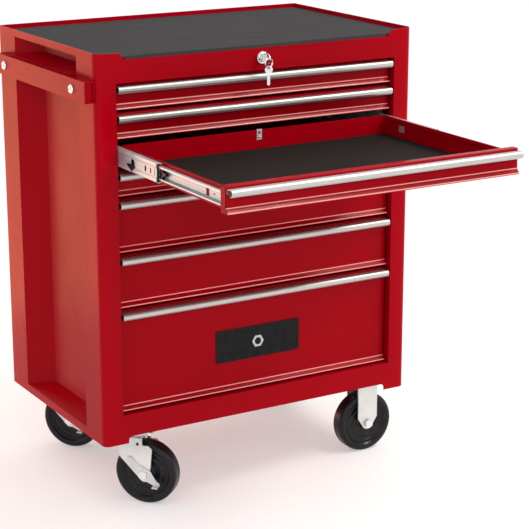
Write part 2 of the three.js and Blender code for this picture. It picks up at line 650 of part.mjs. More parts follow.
function buildSwivelCastor(place, x, y) {
  const group = new THREE.Group();
  group.position.set(x, y, 0);
  group.rotation.z = SWIVEL_TURN;
  cabinet.add(group);
  const raceBottom = CASTOR_TOP - CROWN_DROP + LOCK_CLEARANCE;
  const race = rod(RACE_RADIUS, 0, 0, raceBottom, CASTOR_TOP - PLATE_SHEET / 2, 'z', 28);
  const pinHole = rod(KINGPIN_RADIUS + KINGPIN_CLEARANCE, 0, 0, raceBottom - CUT, CASTOR_TOP + CUT, 'z', 16);
  addPart(`castor_${place}_plate`, topPlate().add(race).subtract(pinHole), ZINC, group);
  addPart(`castor_${place}_fork`, swivelFork(), ZINC, group);
  wheel(group, `castor_${place}_wheel`, TRAIL);
  axle(group, `castor_${place}_axle`, TRAIL);
  addPart(`castor_${place}_brake_lever`, brakeLever(), ZINC, group);
}

function rigidFork() {
  const outline = [[-CHEEK_HALF, CASTOR_TOP], [-CHEEK_HALF, WHEEL_RADIUS + CHEEK_TAPER],
    ...arc(0, WHEEL_RADIUS, CHEEK_RADIUS, 200, 340, 6),
    [CHEEK_HALF, WHEEL_RADIUS + CHEEK_TAPER], [CHEEK_HALF, CASTOR_TOP]];
  const cheeks = [-1, 1].map((side) => forkCheek(outline, side));
  return joined(topPlate(), ...cheeks).subtract(axleHole(0));
}

function buildRigidCastor(place, x, y) {
  const group = new THREE.Group();
  group.position.set(x, y, 0);
  cabinet.add(group);
  addPart(`castor_${place}_fork`, rigidFork(), ZINC, group);
  wheel(group, `castor_${place}_wheel`, 0);
  axle(group, `castor_${place}_axle`, 0);
}

addPart('front_frame', frontFrame(), RED);
addPart('left_side', sidePanel(-1), RED);
addPart('right_side', sidePanel(1), RED);
addPart('back_panel', box(-HALF, HALF, DEPTH - SHEET, DEPTH, FOOT_BOTTOM, RIM_TOP), RED);
addPart('bottom_panel', box(-HALF + SHEET + GAP, HALF - SHEET - GAP, FRAME_WRAP + GAP, DEPTH - SHEET - GAP,
  RAIL_BOTTOM, RAIL_BOTTOM + SHEET), RED);
addPart('top_panel', topPanel(), RED);
addPart('top_mat', topMat(), RUBBER_MAT);
addPart('left_slide_rack', slideRack(-1), ZINC);
addPart('right_slide_rack', slideRack(1), ZINC);
addPart('side_handle', sideHandle(), RED);
BOLT_PLACES.forEach((y, i) => addPart(`side_handle_bolt_${i + 1}`, handleBolt(y), CHROME));
addPart('grip_shelf', gripShelf(), RED);
addPart('lock_housing', lockHousing(), CHROME);
addPart('lock_barrel', lockBarrel(), CHROME);
addPart('key', flatKey().translate([0, KEY_CENTRE, LOCK_HEIGHT]), CHROME);
addPart('lock_rod', lockRod(), ZINC);
addPart('lock_bar', lockBar(), ZINC);
buildDrawers();
buildSwivelCastor('front_left', SWIVEL_X, SWIVEL_YS[0]);
buildSwivelCastor('rear_left', SWIVEL_X, SWIVEL_YS[1]);
buildRigidCastor('front_right', RIGID_X, RIGID_YS[0]);
buildRigidCastor('rear_right', RIGID_X, RIGID_YS[1]);

// The origin is the middle of the whole footprint, with the drawer open.
const middle = new THREE.Box3().setFromObject(cabinet, true).getCenter(new THREE.Vector3());
cabinet.position.set(-middle.x, -middle.y, 0);

export default cabinet;
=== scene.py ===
"""A seven-drawer rolling tool cabinet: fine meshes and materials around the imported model."""
import json
import math

import bmesh
import bpy
from mathutils import Matrix, Vector


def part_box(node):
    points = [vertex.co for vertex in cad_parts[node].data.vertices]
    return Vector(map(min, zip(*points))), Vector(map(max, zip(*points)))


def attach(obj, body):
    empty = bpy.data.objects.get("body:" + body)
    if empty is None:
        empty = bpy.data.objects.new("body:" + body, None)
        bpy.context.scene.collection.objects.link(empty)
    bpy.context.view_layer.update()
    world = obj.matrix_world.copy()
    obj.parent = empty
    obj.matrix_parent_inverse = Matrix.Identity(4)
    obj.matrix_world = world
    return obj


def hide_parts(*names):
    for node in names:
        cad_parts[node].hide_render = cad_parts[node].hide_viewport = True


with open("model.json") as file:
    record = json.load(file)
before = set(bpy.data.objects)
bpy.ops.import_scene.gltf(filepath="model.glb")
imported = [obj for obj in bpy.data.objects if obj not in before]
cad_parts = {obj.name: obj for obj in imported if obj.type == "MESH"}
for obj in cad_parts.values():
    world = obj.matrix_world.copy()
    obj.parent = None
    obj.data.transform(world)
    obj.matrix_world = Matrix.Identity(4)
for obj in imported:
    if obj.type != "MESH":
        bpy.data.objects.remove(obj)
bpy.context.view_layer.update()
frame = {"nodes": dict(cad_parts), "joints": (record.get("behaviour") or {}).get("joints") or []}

MM = 0.001
DRAWERS = range(1, 8)
OPEN_DRAWER = 3
SIDES = {"left": -1, "right": 1}
CASTORS = ("front_left", "rear_left", "front_right", "rear_right")
SWIVEL_CASTORS = ("front_left", "rear_left")
JOINTS = {joint["name"]: joint for joint in frame["joints"]}


# ---------------------------------------------------------------- camera, floor and light

CAMERA_PLACE = Vector((-1.606, -2.752, 1.343))
CAMERA_HEADING = math.radians(30.68)
CAMERA_DIP = math.radians(15.71)
CAMERA_LENS = 117.2
MIDDLE = (0.0, 0.1, 0.5)
# Each light's place, target, width and height in metres, power in watts, and colour.
LIGHTS = {
    "left_panel": ((-0.74, 1.25, 0.42), (-0.35, 0.2, 0.42), (0.62, 1.0), 7, (1.0, 0.3, 0.08)),
    "top_strip": ((1.5, -1.25, 2.9), MIDDLE, (1.8, 0.3), 46, (1.0, 0.88, 0.78)),
    "fold_strip": ((1.5, -2.45, 1.75), MIDDLE, (1.8, 0.2), 10, (1.0, 0.9, 0.86)),
    "front_panel": ((-1.5, -2.4, 1.6), MIDDLE, (1.4, 1.2), 10, (1.0, 0.98, 0.95)),
}
FLOOR_HALF = 9.0
FLOOR_GREY = 0.62
FLOOR_GLOW = 0.36


def add_camera():
    data = bpy.data.cameras.new("camera")
    data.sensor_width = 36
    data.lens = CAMERA_LENS
    data.clip_start, data.clip_end = 0.05, 60
    camera = bpy.data.objects.new("camera", data)
    camera.location = CAMERA_PLACE
    camera.rotation_euler = (math.pi / 2 - CAMERA_DIP, 0, -CAMERA_HEADING)
    bpy.context.scene.collection.objects.link(camera)
    bpy.context.scene.camera = camera


def add_panel_light(name, place, target, size, power, colour):
    """A soft rectangular light that faces its target."""
    data = bpy.data.lights.new(name, "AREA")
    data.shape = "RECTANGLE"
    data.size, data.size_y = size
    data.energy = power
    data.color = colour
    light = bpy.data.objects.new(name, data)
    light.location = place
    light.rotation_euler = (Vector(target) - Vector(place)).to_track_quat("-Z", "Y").to_euler()
    light.visible_camera = False
    bpy.context.scene.collection.objects.link(light)


def add_studio():
    world = bpy.data.worlds.new("studio")
    world.use_nodes = True
    background = world.node_tree.nodes["Background"]
    background.inputs["Color"].default_value = (1, 1, 1, 1)
    background.inputs["Strength"].default_value = 1.0
    bpy.context.scene.world = world
    bpy.context.scene.view_settings.view_transform = "Standard"
    for name, settings in LIGHTS.items():
        add_panel_light(name, *settings)


def add_floor():
    mesh = bpy.data.meshes.new("floor")
    corners = [(x * FLOOR_HALF, y * FLOOR_HALF, 0) for x, y in ((-1, -1), (1, -1), (1, 1), (-1, 1))]
    mesh.from_pydata(corners, [], [(0, 1, 2, 3)])
    floor = bpy.data.objects.new("floor", mesh)
    bpy.context.scene.collection.objects.link(floor)
    material, _, shader = new_material("floor_white")
    shader.inputs["Base Color"].default_value = (FLOOR_GREY, FLOOR_GREY, FLOOR_GREY, 1)
    shader.inputs["Roughness"].default_value = 0.9
    shader.inputs["Emission Color"].default_value = (1, 1, 1, 1)
    shader.inputs["Emission Strength"].default_value = FLOOR_GLOW
    mesh.materials.append(material)


# ---------------------------------------------------------------- material nodes


def new_material(name):
    material = bpy.data.materials.new(name)
    material.use_nodes = True
    tree = material.node_tree
    return material, tree, tree.nodes["Principled BSDF"]


def place_on_piece(tree, stretch):
    """Coordinates in metres that stay with the piece, scaled along each axis."""
    coordinates = tree.nodes.new("ShaderNodeTexCoord")
    mapping = tree.nodes.new("ShaderNodeMapping")
    mapping.inputs["Scale"].default_value = stretch
    tree.links.new(coordinates.outputs["Object"], mapping.inputs["Vector"])
    return mapping.outputs["Vector"]


def noise(tree, scale, detail, roughness=0.5, stretch=(1, 1, 1)):
    node = tree.nodes.new("ShaderNodeTexNoise")
    node.inputs["Scale"].default_value = scale
    node.inputs["Detail"].default_value = detail
    node.inputs["Roughness"].default_value = roughness
    tree.links.new(place_on_piece(tree, stretch), node.inputs["Vector"])
    return node.outputs["Fac"]


def ramp(tree, value, *stops):
    """Maps a value to colours; each stop is (position, colour)."""
    node = tree.nodes.new("ShaderNodeValToRGB")
    elements = node.color_ramp.elements
    while len(elements) < len(stops):
        elements.new(0.5)
    for element, (position, colour) in zip(elements, stops):
        element.position = position
        element.color = (*colour, 1)
    tree.links.new(value, node.inputs["Fac"])
    return node.outputs["Color"]


def spread(tree, value, low, high):
    """Maps a value that varies around a half to the span from low to high."""
    node = tree.nodes.new("ShaderNodeMapRange")
    node.inputs["From Min"].default_value = 0.3
    node.inputs["From Max"].default_value = 0.7
    node.inputs["To Min"].default_value = low
    node.inputs["To Max"].default_value = high
    tree.links.new(value, node.inputs["Value"])
    return node.outputs["Result"]


def mixed(tree, amount, first, second):
    """First colour where the amount is 0 and second where it is 1; either may be a plain colour."""
    node = tree.nodes.new("ShaderNodeMix")
    node.data_type = "RGBA"
    tree.links.new(amount, node.inputs["Factor"])
    for socket, colour in ((node.inputs[6], first), (node.inputs[7], second)):
        if isinstance(colour, tuple):
            socket.default_value = (*colour, 1)
        else:
            tree.links.new(colour, socket)
    return node.outputs[2]


def bump(tree, shader, height, distance, strength):
    node = tree.nodes.new("ShaderNodeBump")
    node.inputs["Distance"].default_value = distance
    node.inputs["Strength"].default_value = strength
    tree.links.new(height, node.inputs["Height"])
    tree.links.new(node.outputs["Normal"], shader.inputs["Normal"])


def edge_mask(tree, start=0.52, end=0.6):
    """1 along outward edges and corners, 0 elsewhere."""
    geometry = tree.nodes.new("ShaderNodeNewGeometry")
    return ramp(tree, geometry.outputs["Pointiness"], (start, (0, 0, 0)), (end, (1, 1, 1)))


# ---------------------------------------------------------------- materials


def red_paint(name, gloss, dark=(0.26, 0.0, 0.004), light=(0.3, 0.0, 0.005), edge=(0.33, 0.0, 0.006)):
    material, tree, shader = new_material(name)
    tone = ramp(tree, noise(tree, scale=5.0, detail=4.0), (0.3, dark), (0.7, light))
    # Painted highlight: the paint turns to the edge colour along outward edges and corners. This stands in
    # for the light those edges catch.
    tone_with_edge_highlight = mixed(tree, edge_mask(tree), tone, edge)
    tree.links.new(tone_with_edge_highlight, shader.inputs["Base Color"])
    tree.links.new(spread(tree, noise(tree, scale=9.0, detail=5.0), 0.2, 0.3), shader.inputs["Roughness"])
    shader.inputs["Specular IOR Level"].default_value = gloss
    bump(tree, shader, noise(tree, scale=900.0, detail=2.0), distance=0.05 * MM, strength=0.35)
    return material


def brushed_aluminium():
    material, tree, shader = new_material("pull_aluminium")
    grain = noise(tree, scale=900.0, detail=3.0, roughness=0.6, stretch=(0.01, 1, 1))
    tone = ramp(tree, grain, (0.3, (0.43, 0.425, 0.41)), (0.7, (0.57, 0.565, 0.55)))
    tree.links.new(tone, shader.inputs["Base Color"])
    shader.inputs["Metallic"].default_value = 0.85
    tree.links.new(spread(tree, grain, 0.36, 0.5), shader.inputs["Roughness"])
    bump(tree, shader, grain, distance=0.04 * MM, strength=0.3)
    return material


def zinc_plate(name, dark, light):
    material, tree, shader = new_material(name)
    cloud = noise(tree, scale=35.0, detail=5.0, roughness=0.6)
    tone = ramp(tree, cloud, (0.3, dark), (0.7, light))
    # Paler along outward edges and corners.
    paler_at_edges = mixed(tree, edge_mask(tree), tone, (0.76, 0.76, 0.75))
    tree.links.new(paler_at_edges, shader.inputs["Base Color"])
    shader.inputs["Metallic"].default_value = 0.7
    tree.links.new(spread(tree, cloud, 0.3, 0.46), shader.inputs["Roughness"])
    bump(tree, shader, noise(tree, scale=700.0, detail=2.0), distance=0.04 * MM, strength=0.3)
    return material


def chrome():
    material, tree, shader = new_material("chrome")
    cloud = noise(tree, scale=120.0, detail=3.0)
    tree.links.new(ramp(tree, cloud, (0.3, (0.74, 0.74, 0.75)), (0.7, (0.86, 0.86, 0.86))),
                   shader.inputs["Base Color"])
    shader.inputs["Metallic"].default_value = 1.0
    tree.links.new(spread(tree, cloud, 0.08, 0.18), shader.inputs["Roughness"])
    bump(tree, shader, noise(tree, scale=400.0, detail=2.0), distance=0.02 * MM, strength=0.2)
    return material


def ribbed_rubber(name, dark, light):
    material, tree, shader = new_material(name)
    speckle = noise(tree, scale=420.0, detail=4.0, roughness=0.7)
    streak = noise(tree, scale=22.0, detail=3.0, roughness=0.6, stretch=(0.35, 2.2, 1))
    tone = mixed(tree, streak, ramp(tree, speckle, (0.3, dark), (0.72, light)), dark)
    tree.links.new(tone, shader.inputs["Base Color"])
    tree.links.new(spread(tree, speckle, 0.62, 0.85), shader.inputs["Roughness"])
    shader.inputs["Specular IOR Level"].default_value = 0.15
    bump(tree, shader, noise(tree, scale=1500.0, detail=2.0), distance=0.15 * MM, strength=0.6)
    return material


def wheel_black():
    material, tree, shader = new_material("wheel_black")
    cloud = noise(tree, scale=30.0, detail=5.0, roughness=0.6)
    tone = ramp(tree, cloud, (0.3, (0.005, 0.0045, 0.0055)), (0.7, (0.012, 0.011, 0.013)))
    scuffed = mixed(tree, edge_mask(tree, 0.53, 0.62), tone, (0.024, 0.022, 0.023))
    tree.links.new(scuffed, shader.inputs["Base Color"])
    tree.links.new(spread(tree, cloud, 0.18, 0.3), shader.inputs["Roughness"])
    shader.inputs["Specular IOR Level"].default_value = 0.22
    bump(tree, shader, noise(tree, scale=500.0, detail=3.0), distance=0.1 * MM, strength=0.2)
    return material


def black_plastic():
    material, tree, shader = new_material("black_plastic")
    cloud = noise(tree, scale=60.0, detail=3.0)
    tree.links.new(ramp(tree, cloud, (0.3, (0.004, 0.004, 0.0045)), (0.7, (0.009, 0.009, 0.01))),
                   shader.inputs["Base Color"])
    tree.links.new(spread(tree, cloud, 0.22, 0.34), shader.inputs["Roughness"])
    shader.inputs["Specular IOR Level"].default_value = 0.12
    bump(tree, shader, noise(tree, scale=1200.0, detail=2.0), distance=0.05 * MM, strength=0.4)
    return material


# ---------------------------------------------------------------- outlines

CORNER_SHARE = 0.48
STRAIGHT_HALF_ANGLE = math.radians(88)


def vectors(points):
    return [Vector(point) for point in points]


def arc(centre, radius, start, end, steps):
    """Points on an arc, with its angles in degrees."""
    points = []
    for step in range(steps + 1):
        angle = math.radians(start + (end - start) * step / steps)
        points.append(Vector(centre) + radius * Vector((math.cos(angle), math.sin(angle))))
    return points


def rounded(points, radius, steps=4, closed=False):
    """The path with its corners rounded, each over less than half of its shorter side."""
    points = vectors(points)
    result = []
    for i, corner in enumerate(points):
        if not closed and i in (0, len(points) - 1):
            result.append(corner)
            continue
        back = points[i - 1] - corner
        ahead = points[(i + 1) % len(points)] - corner
        limit = CORNER_SHARE * min(back.length, ahead.length)
        back.normalize()
        ahead.normalize()
        half = math.acos(max(-1.0, min(1.0, back.dot(ahead)))) / 2
        if half > STRAIGHT_HALF_ANGLE:
            result.append(corner)
            continue
        reach = min(radius / math.tan(half), limit)
        centre = corner + (back + ahead).normalized() * (reach / math.cos(half))
        first = corner + back * reach - centre
        last = corner + ahead * reach - centre
        turn = math.atan2(first.x * last.y - first.y * last.x, first.dot(last))
        for step in range(steps + 1):
            result.append(centre + Matrix.Rotation(turn * step / steps, 2) @ first)
    return result


def folded(path, thickness):
    """The closed outline of a folded sheet, thickened to the left of its path."""
    moved = []
    for i, here in enumerate(path):
        before = (here - path[i - 1]).normalized() if i > 0 else None
        after = (path[i + 1] - here).normalized() if i < len(path) - 1 else None
        before, after = before or after, after or before
        across = Vector((-before.y - after.y, before.x + after.x))
        moved.append(here + across * (thickness / (1 + before.dot(after))))
    return list(path) + moved[::-1]


def circle(radius, steps, centre=(0, 0)):
    return arc(centre, radius, 0, 360 - 360 / steps, steps - 1)


def rectangle(low, high):
    return [(low[0], low[1]), (high[0], low[1]), (high[0], high[1]), (low[0], high[1])]


def slot_outline(length, height, centre):
    """An outline with round ends, lying along its first axis."""
    radius, steps = height / 2, 8
    run = Vector((length / 2 - radius, 0))
    middle = Vector(centre)
    return arc(middle + run, radius, -90, 90, steps) + arc(middle - run, radius, 90, 270, steps)


def upright_slot(width, height, centre):
    return [Vector((centre[0] - p.y, centre[1] + p.x)) for p in slot_outline(height, width, (0, 0))]


# ---------------------------------------------------------------- solids

# For each sweep direction, the directions of an outline's two values and of the sweep.
AXES = {"x": ((0, 1, 0), (0, 0, 1), (1, 0, 0)), "y": ((1, 0, 0), (0, 0, 1), (0, 1, 0)),
        "z": ((1, 0, 0), (0, 1, 0), (0, 0, 1))}
TINY = 1e-9
FLAT_ANGLE = math.radians(0.5)
SHARP_ANGLE = 32


def prism(outline, axis, start, end):
    """The outline swept along an axis. Its two values are the other two axes, in order."""
    across, up, along = (Vector(direction) for direction in AXES[axis])
    solid = bmesh.new()
    rings = [[solid.verts.new(across * p[0] + up * p[1] + along * level) for p in outline]
             for level in (start, end)]
    for ring in rings:
        solid.faces.new(ring)
    for i in range(len(outline)):
        j = (i + 1) % len(outline)
        solid.faces.new((rings[0][i], rings[0][j], rings[1][j], rings[1][i]))
    bmesh.ops.recalc_face_normals(solid, faces=solid.faces)
    return solid


def block(low, high):
    return prism(rectangle(low, high), "z", low[2], high[2])


def lathe(profile, steps=48, closed=False):
    """A solid of revolution round Z. The profile's points are (radius, height)."""
    solid = bmesh.new()
    rings = []
    for radius, height in profile:
        if radius < TINY:
            rings.append([solid.verts.new((0, 0, height))] * steps)
            continue
        angles = [2 * math.pi * i / steps for i in range(steps)]
        rings.append([solid.verts.new((radius * math.cos(a), radius * math.sin(a), height)) for a in angles])
    pairs = list(zip(rings, rings[1:]))
    if closed:
        pairs.append((rings[-1], rings[0]))
    for lower, upper in pairs:
        for i in range(steps):
            j = (i + 1) % steps
            corners = []
            for vertex in (lower[i], lower[j], upper[j], upper[i]):
                if vertex not in corners:
                    corners.append(vertex)
            if len(corners) > 2:
                solid.faces.new(corners)
    bmesh.ops.recalc_face_normals(solid, faces=solid.faces)
    return solid


def moved(solid, matrix):
    solid.transform(matrix)
    bmesh.ops.recalc_face_normals(solid, faces=solid.faces)
    return solid


def at(*place):
    return Matrix.Translation(Vector(place))


def facing(direction, place=(0, 0, 0), turn=0.0):
    """Turns Z to face the direction, after a turn about Z, and moves it to the place."""
    aim = Vector(direction).to_track_quat("Z", "Y").to_matrix().to_4x4()
    return at(*place) @ aim @ Matrix.Rotation(turn, 4, "Z")


def together(*solids):
    """Separate closed bodies in one mesh."""
    whole = solids[0]
    for solid in solids[1:]:
        mesh = bpy.data.meshes.new("part")
        solid.to_mesh(mesh)
        solid.free()
        whole.from_mesh(mesh)
        bpy.data.meshes.remove(mesh)
    return whole


def temporary(solid):
    mesh = bpy.data.meshes.new("temporary")
    solid.to_mesh(mesh)
    solid.free()
    thing = bpy.data.objects.new("temporary", mesh)
    bpy.context.scene.collection.objects.link(thing)
    return thing


def combined(whole, tools, operation):
    """The solid after a boolean operation with each tool, its flat faces made whole again."""
    body = temporary(whole)
    cutters = [temporary(tool) for tool in tools]
    for cutter in cutters:
        change = body.modifiers.new("change", "BOOLEAN")
        change.operation = operation
        change.solver = "EXACT"
        change.object = cutter
    bpy.context.view_layer.update()
    evaluated = body.evaluated_get(bpy.context.evaluated_depsgraph_get())
    result = bmesh.new()
    result.from_mesh(evaluated.to_mesh())
    evaluated.to_mesh_clear()
    for thing in [body, *cutters]:
        mesh = thing.data
        bpy.data.objects.remove(thing)
        bpy.data.meshes.remove(mesh)
    bmesh.ops.dissolve_limit(result, angle_limit=FLAT_ANGLE, verts=result.verts, edges=result.edges)
    return result


def carved(whole, *tools):
    return combined(whole, tools, "DIFFERENCE")


def soften(thing, width, segments=2):
    """Rounds the sharp edges of an object with modifiers and evens its shading."""
    edge = thing.modifiers.new("rounded_edges", "BEVEL")
    edge.width = width
    edge.segments = segments
    edge.limit_method = "ANGLE"
    edge.angle_limit = math.radians(SHARP_ANGLE)
    edge.use_clamp_overlap = True
    edge.miter_outer = "MITER_ARC"
    normals = thing.modifiers.new("even_shading", "WEIGHTED_NORMAL")
    normals.keep_sharp = True


def piece(name, solid, material, body, stands_for=(), bevel=0.0, angle=SHARP_ANGLE):
    """A new visible piece that rides on a body: bevelled, or sharp above an angle in degrees."""
    mesh = bpy.data.meshes.new(name)
    solid.to_mesh(mesh)
    solid.free()
    mesh.materials.append(material)
    mesh.shade_smooth()
    thing = bpy.data.objects.new(name, mesh)
    bpy.context.scene.collection.objects.link(thing)
    if bevel:
        soften(thing, bevel)
    else:
        mesh.set_sharp_from_angle(angle=math.radians(angle))
    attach(thing, body)
    if stands_for:
        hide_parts(*stands_for)
    return thing


def dress(node, material, bevel=0.4 * MM, segments=2):
    """Keeps a CAD node, with rounded edges and its material."""
    thing = frame["nodes"][node]
    if not thing.material_slots:
        thing.data.materials.append(material)
    thing.material_slots[0].link = "OBJECT"
    thing.material_slots[0].material = material
    thing.data.shade_smooth()
    flat = thing.modifiers.new("whole_faces", "DECIMATE")
    flat.decimate_type = "DISSOLVE"
    flat.angle_limit = FLAT_ANGLE
    soften(thing, bevel, segments)


# ---------------------------------------------------------------- drawers

PAINTED_SHEET = 1.0 * MM
LIP_PROUD = 6 * MM
LIP_HEIGHT = 10 * MM
LIP_EDGE = 2.5 * MM
LIP_FOLD = 3 * MM
FRONTWARD, UPWARD, SLOPED = -0.1, 0.04, 0.6
LIP_SLOT, FOLD_SLOT = 1, 2
FLANGE_DEPTH = 16 * MM
FLANGE_TURN = 4 * MM
BOX_INSET = 10.5 * MM
BOX_START = LIP_PROUD + 1.6 * MM
BOX_FLOOR = 3 * MM
BOX_DROP = 5 * MM
BOX_BEND = 1.3 * MM
HEM = 3.4 * MM
HEM_DEPTH = 7 * MM
WALL_FOOT = 12 * MM
WINDOW_PLACE = 48 * MM
WINDOW_LENGTH = 20 * MM
WINDOW_HEIGHT = 14 * MM
MAT_GAP = 2.4 * MM
MAT_BACK_GAP = 1.2 * MM
MAT_LIFT = 0.3 * MM
MAT_THICK = 2 * MM
RIB_STEPS = 4
PULL_SHEET = 1.6 * MM
CAP_THICK = 2.5 * MM
CAP_PROUD = 0.2 * MM


def drawer_front(number, material, lip, fold):
    """The folded front: a flange on top, a flared lip at the bottom and closed ends.

    The lip's slope is glossier than the face. Its two folds are the glossiest, and their colour is a pale
    pink painted highlight.
    """
    low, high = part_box(f"drawer_{number}_box")
    face, back = low.y + LIP_PROUD, low.y + LIP_PROUD + FLANGE_DEPTH
    lip_top = low.z + LIP_HEIGHT
    path = [(back, high.z - FLANGE_TURN), (back, high.z), (face, high.z), (face, lip_top),
            (low.y, low.z + LIP_EDGE), (low.y, low.z), (back, low.z)]
    shell = prism(folded(rounded(path, LIP_FOLD), PAINTED_SHEET), "x", low.x, high.x)
    shell.normal_update()
    for side in shell.faces:
        tilted = side.normal.y < FRONTWARD and side.normal.z > UPWARD
        if tilted and side.calc_center_median().z < lip_top + LIP_FOLD:
            side.material_index = LIP_SLOT if side.normal.z > SLOPED else FOLD_SLOT
    end_outline = rounded(path[1:], LIP_FOLD, closed=True)
    ends = [prism(end_outline, "x", x, x + PAINTED_SHEET) for x in (low.x, high.x - PAINTED_SHEET)]
    front = piece(f"drawer_{number}_front", together(shell, *ends), material, f"drawer_{number}",
                  [f"drawer_{number}_box"], bevel=0.3 * MM)
    front.data.materials.append(lip)
    front.data.materials.append(fold)


def drawer_tray(number, material):
    """The box behind the front: floor and sides in one fold with hemmed edges, and a back wall.

    Near the back each side has a window onto the slide's inner member.
    """
    low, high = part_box(f"drawer_{number}_box")
    left, right = low.x + BOX_INSET, high.x - BOX_INSET
    floor, top = low.z + BOX_FLOOR, high.z - BOX_DROP
    start, end = low.y + BOX_START, high.y
    path = [(left + HEM, top - HEM_DEPTH), (left + HEM, top), (left, top), (left, floor), (right, floor),
            (right, top), (right - HEM, top), (right - HEM, top - HEM_DEPTH)]
    trough = prism(folded(rounded(path, BOX_BEND), PAINTED_SHEET), "y", start, end - PAINTED_SHEET)
    wall_path = [(end - WALL_FOOT, floor), (end, floor), (end, top)]
    wall = prism(folded(rounded(wall_path, BOX_BEND), PAINTED_SHEET), "x", left + PAINTED_SHEET / 2,
                 right - PAINTED_SHEET / 2)
    slide_low, slide_high = member_box(number, "inner", "left")
    level, half = (slide_low.z + slide_high.z) / 2, WINDOW_HEIGHT / 2
    back = end - WINDOW_PLACE
    windows = block((left - PAINTED_SHEET, back - WINDOW_LENGTH, level - half),
                    (right + PAINTED_SHEET, back, level + half))
    piece(f"drawer_{number}_tray", together(carved(trough, windows), wall), material, f"drawer_{number}",
          bevel=0.25 * MM)


def ribbed_sheet(low, high, pitch, rise):
    """A mat whose fine round ribs run along X."""
    count = round((high[1] - low[1]) / pitch)
    step = (high[1] - low[1]) / count
    outline = [Vector((low[1], low[2]))]
    for rib in range(count):
        for i in range(RIB_STEPS):
            share = i / RIB_STEPS
            height = high[2] - rise * (0.5 + 0.5 * math.cos(2 * math.pi * share)) ** 2
            outline.append(Vector((low[1] + (rib + share) * step, height)))
    outline.append(Vector((high[1], high[2] - rise)))
    outline.append(Vector((high[1], low[2])))
    return prism(outline, "x", low[0], high[0])


def drawer_mat(number, material):
    low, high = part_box(f"drawer_{number}_box")
    inset = BOX_INSET + MAT_GAP
    bottom = low.z + BOX_FLOOR + PAINTED_SHEET + MAT_LIFT
    front_left = (low.x + inset, low.y + LIP_PROUD + MAT_GAP, bottom)
    back_right = (high.x - inset, high.y - PAINTED_SHEET - MAT_BACK_GAP, bottom + MAT_THICK)
    solid = ribbed_sheet(front_left, back_right, pitch=3.2 * MM, rise=0.5 * MM)
    stands_for = [f"drawer_{number}_mat"] if number == OPEN_DRAWER else []
    piece(f"drawer_{number}_ribbed_mat", solid, material, f"drawer_{number}", stands_for,
          angle=60)


def catch_plate(number, material):
    """The folded plate on the back wall that the locking hook drops behind."""
    low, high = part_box(f"drawer_{number}_box")
    middle = (low.x + high.x) / 2
    sheet, half, depth = 0.8 * MM, 5.5 * MM, 20 * MM
    hole_drop, rivet_drop = 7 * MM, 14.5 * MM
    top = high.z - BOX_DROP + 0.9 * MM
    inner = high.y - PAINTED_SHEET - 0.9 * MM
    path = vectors([(inner, top - depth), (inner, top), (high.y - 0.1 * MM, top)])
    plate = prism(folded(path, -sheet), "x", middle - half, middle + half)
    hole = prism(circle(2.5 * MM, 16, (middle, top - hole_drop)), "y", inner - 3 * MM, inner + 3 * MM)
    rivet = moved(lathe([(0, 1.2 * MM), (1.2 * MM, 0.9 * MM), (2.2 * MM, 0), (0, 0)], 20),
                  facing((0, -1, 0), (middle, inner - 0.7 * MM, top - rivet_drop)))
    piece(f"drawer_{number}_catch_plate", together(carved(plate, hole), rivet), material,
          f"drawer_{number}", bevel=0.2 * MM)


def pull_profile(back, nose, bottom, top):
    """The closed section of the rounded grip strip, in Y and Z."""
    outer = [(back, top - 1.4 * MM), (back - 7 * MM, top), (nose + 3 * MM, top), (nose, top - 3.2 * MM),
             (nose, bottom + 4 * MM), (nose + 4 * MM, bottom), (nose + 7.5 * MM, bottom)]
    return folded(rounded(outer, 3.2 * MM, 6), PULL_SHEET)


def drawer_pull(number, metal, plastic):
    """The full-width grip strip with its flange, and a black cap in each end."""
    node, body = f"drawer_{number}_pull", f"drawer_{number}"
    low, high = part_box(node)
    strip = prism(pull_profile(high.y, low.y, low.z, high.z), "x", low.x, high.x)
    flange = block((low.x, high.y - PULL_SHEET, high.z - 9 * MM), (high.x, high.y, high.z - 1.4 * MM))
    piece(f"{node}_strip", together(strip, flange), metal, body, [node], bevel=0.25 * MM)
    cap = rounded([(high.y - 1.7 * MM, high.z - 1.9 * MM), (low.y + 2 * MM, high.z - 1.9 * MM),
                   (low.y + 1.8 * MM, low.z + 3 * MM), (low.y + 6 * MM, low.z + 0.6 * MM),
                   (high.y - 4 * MM, low.z + 3 * MM)], 2 * MM, closed=True)
    for side, x in (("left", low.x - CAP_PROUD), ("right", high.x + CAP_PROUD - CAP_THICK)):
        piece(f"{node}_{side}_cap", prism(cap, "x", x, x + CAP_THICK), plastic, body,
              bevel=0.4 * MM)


# ---------------------------------------------------------------- drawer slides

SLIDE_SHEET = 1.0 * MM
SLIDE_CURL = 3.2 * MM
GROOVE_SHARE = 0.24
HOLE_REACH = 4 * MM
LEVER_PLACE = 215 * MM
BALL_RADIUS = 1.5 * MM
BALL_PITCH = 7 * MM
BALLS_IN_ROW = 6


def slide_section(web, flange, low, high):
    """A ball-bearing member's section in X and Z: a web with two pressed grooves, and curled flanges."""
    turn = 1 if flange > web else -1
    groove, half_groove = 0.7 * MM * turn, 1.6 * MM
    path = [(flange, high - SLIDE_CURL), (flange, high), (web, high)]
    for level in (high - GROOVE_SHARE * (high - low), low + GROOVE_SHARE * (high - low)):
        path += [(web, level + half_groove), (web + groove, level), (web, level - half_groove)]
    path += [(web, low), (flange, low), (flange, low + SLIDE_CURL)]
    return folded(rounded(path, 1.6 * MM, 3), SLIDE_SHEET * turn)


def member_box(number, kind, side):
    """A member's corners: those of the open drawer's member, moved to this drawer."""
    low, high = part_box(f"drawer_{OPEN_DRAWER}_{kind}_slide_{side}")
    pull_here, pull_home = (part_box(f"drawer_{n}_pull")[0] for n in (number, OPEN_DRAWER))
    box_here, box_home = (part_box(f"drawer_{n}_box")[0] for n in (number, OPEN_DRAWER))
    share = 0.5 if kind == "middle" else 1.0
    shift = Vector((0, share * (pull_here.y - pull_home.y), box_here.z - box_home.z))
    return low + shift, high + shift


